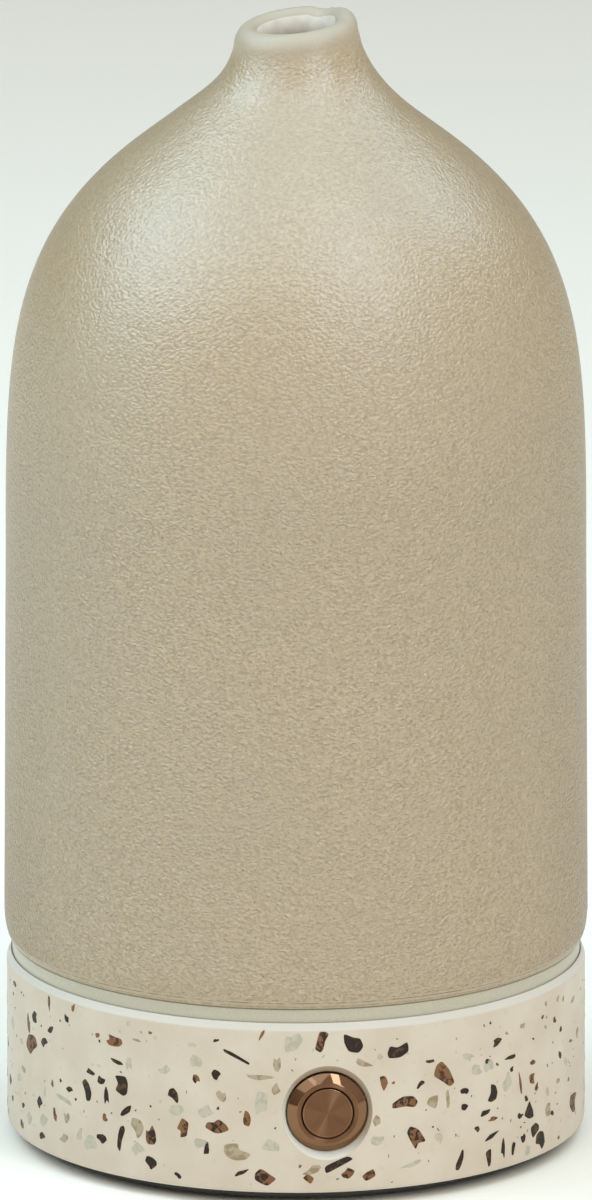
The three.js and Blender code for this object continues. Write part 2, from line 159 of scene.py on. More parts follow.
# ---- Meshes ----
def turned(outline, segments):
    """A closed outline, listed anticlockwise, turned about Z."""
    vertices = []
    rows = []
    for r, z in outline:
        if abs(r) < 1e-6:
            rows.append([len(vertices)] * segments)
            vertices.append((0, 0, z))
            continue
        rows.append([len(vertices) + k for k in range(segments)])
        for k in range(segments):
            a = 2 * math.pi * k / segments
            vertices.append((r * math.cos(a), r * math.sin(a), z))
    faces = []
    for row, above in zip(rows, rows[1:] + rows[:1]):
        for k in range(segments):
            after = (k + 1) % segments
            corners = list(dict.fromkeys((row[k], row[after], above[after], above[k])))
            if len(corners) > 2:
                faces.append(corners)
    return vertices, faces


def rod(radius, bottom, top, segments=64):
    """A plain cylinder about Z."""
    return turned([(0, bottom), (radius, bottom), (radius, top), (0, top)], segments)


def coil(radius, wire, bottom, top, turns):
    """A helical wire about Z, between the heights of its centre line's ends."""
    sides = 10
    steps = 28 * turns
    vertices = []
    for i in range(steps + 1):
        a = 2 * math.pi * turns * i / steps
        z = bottom + (top - bottom) * i / steps
        for k in range(sides):
            b = 2 * math.pi * k / sides
            r = radius + wire * math.cos(b)
            vertices.append((r * math.cos(a), r * math.sin(a), z + wire * math.sin(b)))
    faces = [tuple(range(sides)), tuple(steps * sides + k for k in range(sides))]
    for i in range(steps):
        for k in range(sides):
            here, after = i * sides + k, i * sides + (k + 1) % sides
            faces.append((here, after, after + sides, here + sides))
    return vertices, faces


def block(x0, x1, y0, y1, z0, z1):
    """A plain box, as a cutter."""
    vertices = [(x, y, z) for x in (x0, x1) for y in (y0, y1) for z in (z0, z1)]
    faces = [(0, 1, 3, 2), (4, 6, 7, 5), (0, 4, 5, 1), (2, 3, 7, 6), (0, 2, 6, 4), (1, 5, 7, 3)]
    return vertices, faces


def moved(shape, x=0, y=0, z=0, turn=None):
    """A shape turned by a matrix, if one is given, and then shifted."""
    place = Matrix.Translation((x, y, z)) @ (turn or Matrix())
    return [place @ Vector(v) for v in shape[0]], shape[1]


def linked(name, data):
    """A new object that holds some data, in the scene."""
    obj = bpy.data.objects.new(name, data)
    bpy.context.collection.objects.link(obj)
    return obj


def raw_object(name, shape):
    """An object from a shape in millimetres, with its faces out."""
    mesh = bpy.data.meshes.new(name)
    mesh.from_pydata([Vector(v) * MM for v in shape[0]], [], shape[1])
    sheet = bmesh.new()
    sheet.from_mesh(mesh)
    bmesh.ops.remove_doubles(sheet, verts=sheet.verts, dist=1e-7)
    bmesh.ops.recalc_face_normals(sheet, faces=sheet.faces)
    sheet.to_mesh(mesh)
    sheet.free()
    return linked(name, mesh)


def boolean(obj, shapes, operation):
    """Cuts shapes from an object, or joins them to it, and applies the result."""
    tools = [raw_object("tool", shape) for shape in shapes]
    for tool in tools:
        modifier = obj.modifiers.new("boolean", "BOOLEAN")
        modifier.object = tool
        modifier.operation = operation
        modifier.solver = "EXACT"
    bpy.context.view_layer.update()
    evaluated = obj.evaluated_get(bpy.context.evaluated_depsgraph_get())
    finished = bpy.data.meshes.new_from_object(evaluated)
    obj.modifiers.clear()
    obj.data = finished
    for tool in tools:
        bpy.data.objects.remove(tool)


def piece(name, shape, look, body="base", stands_for=(), join=(), cut=(), sharp=32):
    """A finished piece of the object: its mesh, material, body and the CAD nodes it stands for."""
    obj = raw_object(name, shape)
    if join:
        boolean(obj, join, "UNION")
    if cut:
        boolean(obj, cut, "DIFFERENCE")
    obj.data.materials.clear()
    obj.data.materials.append(look)
    obj.data.shade_smooth()
    obj.data.set_sharp_from_angle(angle=math.radians(sharp))
    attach(obj, body)
    if stands_for:
        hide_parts(*stands_for)
    return obj


def around(radius, degrees):
    """The x and y of a point on a circle about Z."""
    a = math.radians(degrees)
    return radius * math.cos(a), radius * math.sin(a)


# ---- Materials ----
def srgb(*channels):
    """A colour from 0 to 255 display values, as linear light."""
    return tuple(((c / 255 + 0.055) / 1.055) ** 2.4 for c in channels)


class Look:
    """A material round one Principled shader, with textures in the part's own coordinates."""

    def __init__(self, name, color, roughness, metallic=0.0):
        self.material = bpy.data.materials.new(name)
        self.material.use_nodes = True
        self.tree = self.material.node_tree
        self.shader = self.tree.nodes["Principled BSDF"]
        self.set("Base Color", (*color, 1))
        self.set("Roughness", roughness)
        self.set("Metallic", metallic)
        self.place = self.node("ShaderNodeTexCoord").outputs["Object"]
        self.normal = None

    def set(self, socket, value):
        """Gives a socket of the shader a constant or a link."""
        if isinstance(value, bpy.types.NodeSocket):
            self.tree.links.new(value, self.shader.inputs[socket])
        else:
            self.shader.inputs[socket].default_value = value

    def node(self, kind, inputs=None, **settings):
        """A new node, with each of its inputs given a constant or a link."""
        made = self.tree.nodes.new(kind)
        for key, value in settings.items():
            setattr(made, key, value)
        for key, value in (inputs or {}).items():
            if isinstance(value, bpy.types.NodeSocket):
                self.tree.links.new(value, made.inputs[key])
            else:
                made.inputs[key].default_value = value
        return made

    def noise(self, size, detail=2.0, distortion=0.0, place=None):
        """A cloudy value whose features are about size across."""
        inputs = {
            "Vector": place or self.place,
            "Scale": 1 / (size * MM),
            "Detail": detail,
            "Distortion": distortion,
        }
        return self.node("ShaderNodeTexNoise", inputs).outputs["Fac"]

    def cells(self, size, output="Distance", feature="F1"):
        """Distance or colour in a scatter of points about size apart."""
        inputs = {"Vector": self.place, "Scale": 1 / (size * MM)}
        return self.node("ShaderNodeTexVoronoi", inputs, feature=feature).outputs[output]

    def ramp(self, value, *stops):
        """Turns a value into colours; each stop is (position, colour)."""
        made = self.node("ShaderNodeValToRGB", {"Fac": value})
        elements = made.color_ramp.elements
        while len(elements) < len(stops):
            elements.new(0.5)
        for element, (position, color) in zip(elements, stops):
            element.position = position
            element.color = (*color, 1)
        return made.outputs["Color"]

    def span(self, value, low, high, out_low=0.0, out_high=1.0):
        """Maps low..high to out_low..out_high, and clamps."""
        inputs = {"Value": value, "From Min": low, "From Max": high, "To Min": out_low, "To Max": out_high}
        return self.node("ShaderNodeMapRange", inputs).outputs["Result"]

    def calc(self, operation, *values, kind="ShaderNodeMath"):
        """One step of arithmetic on numbers, or on vectors with another kind of node."""
        return self.node(kind, dict(enumerate(values)), operation=operation).outputs["Value"]

    def mix(self, factor, a, b, blend="MIX"):
        """Blends two colours, from a at 0 to b at 1."""
        color_a, color_b, color_result = 6, 7, 2  # by place, as several sockets share a name
        made = self.node("ShaderNodeMix", {"Factor": factor}, data_type="RGBA", blend_type=blend)
        for place, value in ((color_a, a), (color_b, b)):
            if isinstance(value, bpy.types.NodeSocket):
                self.tree.links.new(value, made.inputs[place])
            else:
                made.inputs[place].default_value = (*value, 1)
        return made.outputs[color_result]

    def scaled_place(self, *factors):
        """The texture coordinates, stretched or flattened along X, Y and Z."""
        return self.node("ShaderNodeMapping", {"Vector": self.place, "Scale": factors}).outputs["Vector"]

    def bump(self, height, depth, strength=1.0):
        """Adds relief of a depth; calls add up."""
        inputs = {"Height": height, "Distance": depth * MM, "Strength": strength}
        if self.normal:
            inputs["Normal"] = self.normal
        self.normal = self.node("ShaderNodeBump", inputs).outputs["Normal"]
        self.set("Normal", self.normal)


def stoneware_glaze():
    """Satin greige glaze with a crinkled relief, fainter up the neck; the rim is smooth, pale and matt;
    painted shade darkens and warms the sides of the lower body.
    """
    look = Look("stoneware_glaze", srgb(176, 162, 137), 0.3)
    upright = (-MOUTH_SLOPE[0], -MOUTH_SLOPE[1], 1)
    level = look.calc("DOT_PRODUCT", look.place, upright, kind="ShaderNodeVectorMath")
    rim = look.span(level, (NECK_Z - 2) * MM, (NECK_Z + 2.4) * MM)
    below_neck = look.span(level, (NECK_Z - 70) * MM, (NECK_Z - 30) * MM, 1, 0.36)
    crinkle = look.noise(0.68, detail=1, distortion=0.25, place=look.scaled_place(1, 1, 1.35))
    clouds = look.noise(34, detail=3)
    tone = look.ramp(crinkle, (0.3, srgb(160, 136, 104)), (0.7, srgb(186, 162, 129)))
    tone = look.mix(look.span(clouds, 0.35, 0.7, 0, 0.5), tone, srgb(169, 147, 117))
    chosen = look.cells(3.2, "Color")
    specks = look.cells(3.2)
    dark = look.calc("MULTIPLY", look.span(specks, 0.04, 0.06, 1, 0), look.span(chosen, 0.6, 0.62))
    tone = look.mix(dark, tone, srgb(120, 92, 70))
    tone = look.mix(rim, tone, srgb(176, 159, 135))
    # Painted shade: the glaze darkens and warms where it turns away from view, low on the body.
    turned_away = look.node("ShaderNodeLayerWeight", {"Blend": 0.5}).outputs["Facing"]
    lowness = look.span(level, (COVER_BOTTOM + 10) * MM, (NECK_Z - 45) * MM, 1, 0)
    painted_edge_shade = look.calc("MULTIPLY", look.span(turned_away, 0.45, 0.95), lowness)
    tone = look.mix(painted_edge_shade, tone, srgb(210, 188, 136), "MULTIPLY")
    look.set("Base Color", tone)
    satin = look.span(crinkle, 0.3, 0.7, 0.36, 0.3)
    look.set("Roughness", look.calc("ADD", satin, look.span(rim, 0, 1, 0, 0.25)))
    look.set("Specular IOR Level", 1.0)
    look.set("IOR", 1.58)
    relief = look.calc("MULTIPLY", below_neck, look.span(rim, 0, 1, 1, 0.04))
    look.bump(look.span(crinkle, 0.25, 0.75), 0.35, relief)
    look.bump(look.noise(3.2, detail=1), 0.12, look.span(rim, 0, 1, 1, 0.3))
    return look.material


def bare_stoneware():
    """Smooth fired clay at the foot, with two dotted brown lines of painted shade, under the glaze's edge
    and where the foot curves under.
    """
    look = Look("bare_stoneware", srgb(178, 160, 134), 0.36)
    grain = look.noise(0.6, detail=3)
    tone = look.ramp(grain, (0.35, srgb(170, 152, 126)), (0.65, srgb(184, 167, 141)))
    height = look.node("ShaderNodeSeparateXYZ", {"Vector": look.place}).outputs["Z"]
    line_breaks = look.noise(1.6, detail=2)
    half_width = 0.09
    # Painted shade: thin dark lines at two heights above the foot, broken up by noise.
    for above_foot, strength in ((0.5, 0.45), (1.2, 0.85)):
        middle = (COVER_BOTTOM + above_foot) * MM
        on_line = look.calc("COMPARE", height, middle, half_width * MM)
        painted_shade_line = look.calc("MULTIPLY", on_line, look.span(line_breaks, 0.3, 0.55, 0, strength))
        tone = look.mix(painted_shade_line, tone, srgb(112, 84, 60))
    look.set("Base Color", tone)
    look.bump(grain, 0.01)
    return look.material


def cream_glaze():
    """The pale glaze inside the cover and its mouth."""
    look = Look("cream_glaze", srgb(208, 199, 182), 0.45)
    peel = look.noise(2.2, detail=2)
    look.set("Base Color", look.ramp(peel, (0.3, srgb(206, 191, 173)), (0.7, srgb(218, 205, 189))))
    look.bump(peel, 0.05)
    return look.material


def terrazzo_binder():
    """Cream cement with fine sand, ground flat; paler off the outer wall as a painted highlight, and painted
    light and shade in the button's recess.
    """
    look = Look("terrazzo_binder", srgb(206, 192, 174), 0.5)
    clouds = look.noise(9, detail=4)
    tone = look.ramp(clouds, (0.35, srgb(202, 184, 163)), (0.65, srgb(209, 193, 174)))
    sand = look.cells(0.8, "Color")
    tone = look.mix(look.span(sand, 0.8, 1.0, 0, 0.3), tone, srgb(186, 174, 154))
    radius = look.calc("LENGTH", look.scaled_place(1, 1, 0), kind="ShaderNodeVectorMath")
    # Painted highlight: every face off the outer wall is paler, most of all the ground top chamfer.
    off_outer_wall = look.span(radius, (BASE_R - 0.12) * MM, (BASE_R - 0.05) * MM, 1, 0)
    tone = look.mix(off_outer_wall, tone, srgb(210, 200, 186))
    button = (0, -BASE_R * MM, SWITCH_Z * MM)
    reach = look.calc("DISTANCE", look.place, button, kind="ShaderNodeVectorMath")
    recess = look.calc("MULTIPLY", off_outer_wall, look.span(reach, 8.8 * MM, 9 * MM, 1, 0))
    # Painted light and shade in the recess: cream towards the lower left where light falls, tan towards the
    # upper right where it is shaded.
    up_right = (0.6, 0, 0.8)
    across = look.calc("DOT_PRODUCT", look.place, up_right, kind="ShaderNodeVectorMath")
    button_across = up_right[2] * SWITCH_Z
    recess_light_to_shade = look.span(across, (button_across - 4.5) * MM, (button_across + 1) * MM)
    tone = look.mix(recess, tone, look.mix(recess_light_to_shade, srgb(224, 216, 202), srgb(176, 154, 130)))
    look.set("Base Color", tone)
    look.set("Roughness", look.span(clouds, 0.3, 0.7, 0.52, 0.42))
    look.bump(look.noise(0.7, detail=3), 0.012)
    return look.material


def chip_stone(name, main, vein, share, roughness):
    """A stone fragment with patches of a second colour over a share of it."""
    look = Look(name, main, roughness)
    patches = look.noise(1.1, detail=4, distortion=0.5)
    edge = 0.5 + 0.22 * (0.5 - share)
    soft = 0.03
    look.set("Base Color", look.ramp(patches, (edge - soft, main), (edge + soft, vein)))
    look.set("Specular IOR Level", 0.1)
    look.bump(look.noise(0.3, detail=2), 0.006)
    return look.material


def frosted_ring():
    """Milky, slightly grained light guide, unlit."""
    look = Look("frosted_ring", srgb(194, 190, 169), 0.38)
    look.set("Subsurface Weight", 0.25)
    look.set("Subsurface Radius", (1.0, 1.1, 0.9))
    look.set("Subsurface Scale", 3 * MM)
    look.set("IOR", 1.49)
    grain = look.noise(0.4, detail=2)
    look.set("Base Color", look.ramp(grain, (0.3, srgb(184, 174, 152)), (0.7, srgb(192, 182, 161))))
    look.bump(grain, 0.008)
    return look.material


def brushed_bronze():
    """Bronze-coloured plating over a face with fine turning marks about the button's axis."""
    look = Look("brushed_bronze", srgb(130, 93, 67), 0.42, metallic=1)
    shift = (0, 0, -SWITCH_Z * MM)
    centred = look.node("ShaderNodeMapping", {"Vector": look.place, "Location": shift}).outputs["Vector"]
    rings = look.node(
        "ShaderNodeTexWave",
        {"Vector": centred, "Scale": 2100.0, "Distortion": 1.5, "Detail": 2.0, "Detail Scale": 2.0},
        wave_type="RINGS",
        rings_direction="Y",
    ).outputs["Fac"]
    look.set("Anisotropic", 1.0)
    look.set("Anisotropic Rotation", 0.25)
    tangent = look.node("ShaderNodeTangent", direction_type="RADIAL", axis="Y")
    look.set("Tangent", tangent.outputs["Tangent"])
    look.set("Roughness", look.span(rings, 0, 1, 0.4, 0.46))
    look.set("Base Color", look.ramp(rings, (0.2, srgb(126, 89, 64)), (0.8, srgb(134, 97, 71))))
    look.bump(rings, 0.001)
    return look.material


def polished_bronze():
    """The same plating where it is mirror bright."""
    look = Look("polished_bronze", srgb(134, 100, 75), 0.07, metallic=1)
    haze = look.noise(2, detail=2)
    look.set("Roughness", look.span(haze, 0.3, 0.7, 0.05, 0.1))
    return look.material


def moulded(name, color, roughness, grain=0.35, depth=0.012):
    """A Look of moulded plastic or rubber, with a fine spark-eroded texture."""
    look = Look(name, color, roughness)
    texture = look.noise(grain, detail=3)
    deeper = tuple(c * 0.93 for c in color)
    look.set("Base Color", look.ramp(texture, (0.3, deeper), (0.7, color)))
    look.set("Roughness", look.span(texture, 0.3, 0.7, roughness + 0.05, roughness - 0.05))
    look.bump(texture, depth)
    return look


def milky_plastic():
    """Translucent white polypropylene."""
    look = moulded("milky_plastic", srgb(238, 231, 217), 0.35, grain=0.6, depth=0.008)
    look.set("Subsurface Weight", 0.35)
    look.set("Subsurface Scale", 2 * MM)
    return look.material


def bright_metal(name, color):
    """Machined metal with a little unevenness in its polish."""
    roughness = 0.28
    look = Look(name, color, roughness, metallic=1)
    haze = look.noise(1.5, detail=3)
    look.set("Roughness", look.span(haze, 0.3, 0.7, roughness - 0.06, roughness + 0.08))
    look.bump(look.noise(0.2, detail=2), 0.003)
    return look.material


def solder_mask():
    """Green circuit board: faintly raised copper areas with paler lines between them."""
    green = srgb(24, 88, 58)
    look = Look("solder_mask", green, 0.35)
    copper = look.span(look.cells(3.2, feature="DISTANCE_TO_EDGE"), 0.03, 0.06)
    look.set("Base Color", look.mix(copper, srgb(46, 120, 78), green))
    look.bump(copper, 0.03)
    return look.material


def open_foam():
    """Dark filter foam with open pores."""
    look = Look("open_foam", srgb(70, 70, 70), 0.95)
    pores = look.cells(0.9)
    look.set("Base Color", look.ramp(pores, (0.1, srgb(30, 30, 30)), (0.6, srgb(92, 92, 92))))
    look.bump(pores, 0.3)
    return look.material


GLAZE = stoneware_glaze()
BARE = bare_stoneware()
CREAM = cream_glaze()
BINDER = terrazzo_binder()
FROSTED = frosted_ring()
BRUSHED = brushed_bronze()
POLISHED = polished_bronze()
MILKY = milky_plastic()
BLACK_PLASTIC = moulded("black_plastic", srgb(38, 36, 34), 0.5).material
DARK_RUBBER = moulded("dark_rubber", srgb(44, 44, 46), 0.75, grain=0.5, depth=0.03).material
SILICONE = moulded("silicone", srgb(226, 224, 218), 0.55, grain=0.5).material
STEEL = bright_metal("steel", srgb(196, 197, 196))
SLOT_LOOKS = {
    "stoneware": GLAZE,
    "terrazzo": BINDER,
    "frosted_plastic": FROSTED,
    "white_plastic": MILKY,
    "black_plastic": BLACK_PLASTIC,
    "silicone": SILICONE,
    "rubber": DARK_RUBBER,
    "bronze_metal": BRUSHED,
    "steel": STEEL,
    "brass": bright_metal("machined_brass", srgb(205, 176, 112)),
    "circuit_board": solder_mask(),
    "foam": open_foam(),
}


# ---- The lift-off pieces ----
def lip_unevenness(degrees):
    """How far the hand-rolled lip stands above its plane, at an angle round the mouth."""
    lump = max(0, 1 - ((degrees - 8) / 26) ** 2)
    dip = max(0, 1 - ((degrees - 52) / 14) ** 2)
    return 0.5 * lump - 0.35 * dip


def ceramic_cover():
    """The bell: glazed outside, bare at its foot, cream inside, with a hand-cut mouth."""
    foot_width, foot_height = 1.5, 5.5  # of the quarter ellipse that rounds the foot
    foot_r = COVER_R - foot_width
    foot_z = COVER_BOTTOM + foot_height
    glaze_start = -52  # where the glaze stops, in degrees round that ellipse
    glaze = 0.14
    wall_top = (49.9, COVER_BOTTOM + 70)
    shoulder = (27.1, COVER_BOTTOM + 140.2)
    neck = (10.6, NECK_Z)
    bare = arc((foot_r, foot_z), foot_width - glaze, foot_height, -90, glaze_start, 8)
    glazed = arc((foot_r, foot_z), foot_width, foot_height, glaze_start, 0, 8)
    rows = 12
    foot_top = Vector((COVER_R, foot_z))
    wall = [tuple(foot_top.lerp(wall_top, i / rows)) for i in range(1, rows + 1)]
    body = bezier(wall_top, (49.8, wall_top[1] + 35.3), (49.3, wall_top[1] + 53), shoulder, 36)
    throat = bezier(shoulder, (16.7, shoulder[1] + 8), (12.4, shoulder[1] + 10.8), neck, 18)
    outside = bare + glazed + wall + body + throat
    lip = arc((8.35, NECK_Z), 2.25, 3.2, 6, 180, 16)
    inside = offset(outside[len(bare) :], COVER_WALL)[::-1]
    inside = [(r, z) for r, z in inside if foot_z < z < NECK_Z - 4.5]
    bore = bezier(lip[-1], (6.1, NECK_Z - 2.2), (7.2, NECK_Z - 3.2), inside[0], 7)
    inside_r = COVER_R - COVER_WALL
    foot_inside = [(inside_r, COVER_BOTTOM + 0.6), (inside_r + 0.4, COVER_BOTTOM)]
    outline = outside + lip + bore + inside[1:] + foot_inside
    segments = 256
    vertices, faces = turned(outline, segments)
    bend = 13  # the height of neck over which the mouth's slope comes in
    shaped = []
    for x, y, z in vertices:
        share = min(max((z - (NECK_Z - bend)) / bend, 0), 1)
        share = share * share * (3 - 2 * share)
        uneven = lip_unevenness(math.degrees(math.atan2(y, x))) if z > NECK_Z - 2 else 0
        shaped.append((x, y, z + share * (MOUTH_SLOPE[0] * x + MOUTH_SLOPE[1] * y + uneven)))
    cover = piece("stoneware_cover", (shaped, faces), GLAZE, "cover", ["ceramic_cover"])
    cover.data.materials.append(BARE)
    cover.data.materials.append(CREAM)
    bare_slot, cream_slot = 1, 2
    bare_rows = len(bare) + 1
    first_cream_row = len(outside) + 12  # on the lip's inner side
    for face in cover.data.polygons:
        row = face.index // segments
        if row < bare_rows:
            face.material_index = bare_slot
        elif row >= first_cream_row:
            face.material_index = cream_slot


def mist_hood():
    """The milky dome and chimney that carry the mist up to the cover's mouth."""
    seat = hood_low.z + 9.2
    flange_r = hood_high.x
    plug_r = 36.9
    wall = 1.6
    start = (38, seat + 1.8)
    dome = [start] + bezier(start, (38, seat + 18.8), (15, seat + 20.8), (9.4, seat + 34.8), 20)
    inner = offset(dome, wall)[::-1]
    bead, edge = 0.7, 0.8  # radii at the plug's lower end, and at the spout and the flange
    spout = arc((6.8, hood_high.z - edge), edge, edge, 0, 180, 8)
    outline = [
        *arc((plug_r - wall / 2, hood_low.z + bead), bead, bead, 180, 360, 6),
        (plug_r, seat),
        (flange_r, seat),
        *arc((flange_r - edge, seat + 1), edge, edge, 0, 90, 5),
        *dome,
        *spout,
        *inner[:-1],
        (plug_r - wall + 0.2, seat + 1),
    ]
    piece("hood", turned(outline, 160), MILKY, "hood", ["mist_hood"])
    low, high = box_mm("hood_seal")
    bulge = 0.6
    inner_r = high.x - 1.3
    seal = arc((high.x - bulge, (low.z + high.z) / 2), bulge, 1.2, -90, 90, 8)
    seal += [(inner_r, high.z), (inner_r, low.z)]
    piece("hood_gasket", turned(seal, 160), SILICONE, "hood", ["hood_seal"])


# ---- The base's shell ----
def terrazzo_base():
    """The cast ring, with its ground top edge, the button's recess and the hole for the inlet."""
    ledge = BASE_TOP - 1.8
    outline = rounded(
        [
            (BORE_R, BASE_BOTTOM, 0.4),
            (BASE_R, BASE_BOTTOM, 0.7),
            (BASE_R, BASE_TOP - 1.4, 0.3),
            (BASE_R - 0.6, BASE_TOP, 0.12),
            (REBATE_R, BASE_TOP, 0.06),
            (REBATE_R, ledge, 0),
            (BORE_R, ledge, 0.2),
        ]
    )
    within, beyond = 40, 52  # distances from Z that are well clear of the wall
    seat_r = 7.1
    seat_y = 48.7
    mouth_r = 8.6
    mouth = [(0, seat_y), (seat_r, seat_y), (mouth_r, 50.2), (mouth_r, beyond), (0, beyond)]
    front = [rod(6.2, within, beyond, 96), rod(seat_r, 47.6, 49.5, 96), turned(mouth, 96)]
    back = [rod(4.4, within, beyond), rod(5.6, 48.2, beyond)]
    cut = [moved(shape, z=SWITCH_Z, turn=FACING_FRONT) for shape in front]
    cut += [moved(shape, z=JACK_Z, turn=FACING_BACK) for shape in back]
    shape = turned(outline, 256)
    piece("terrazzo_ring", shape, BINDER, stands_for=["terrazzo_base"], cut=cut, sharp=28)


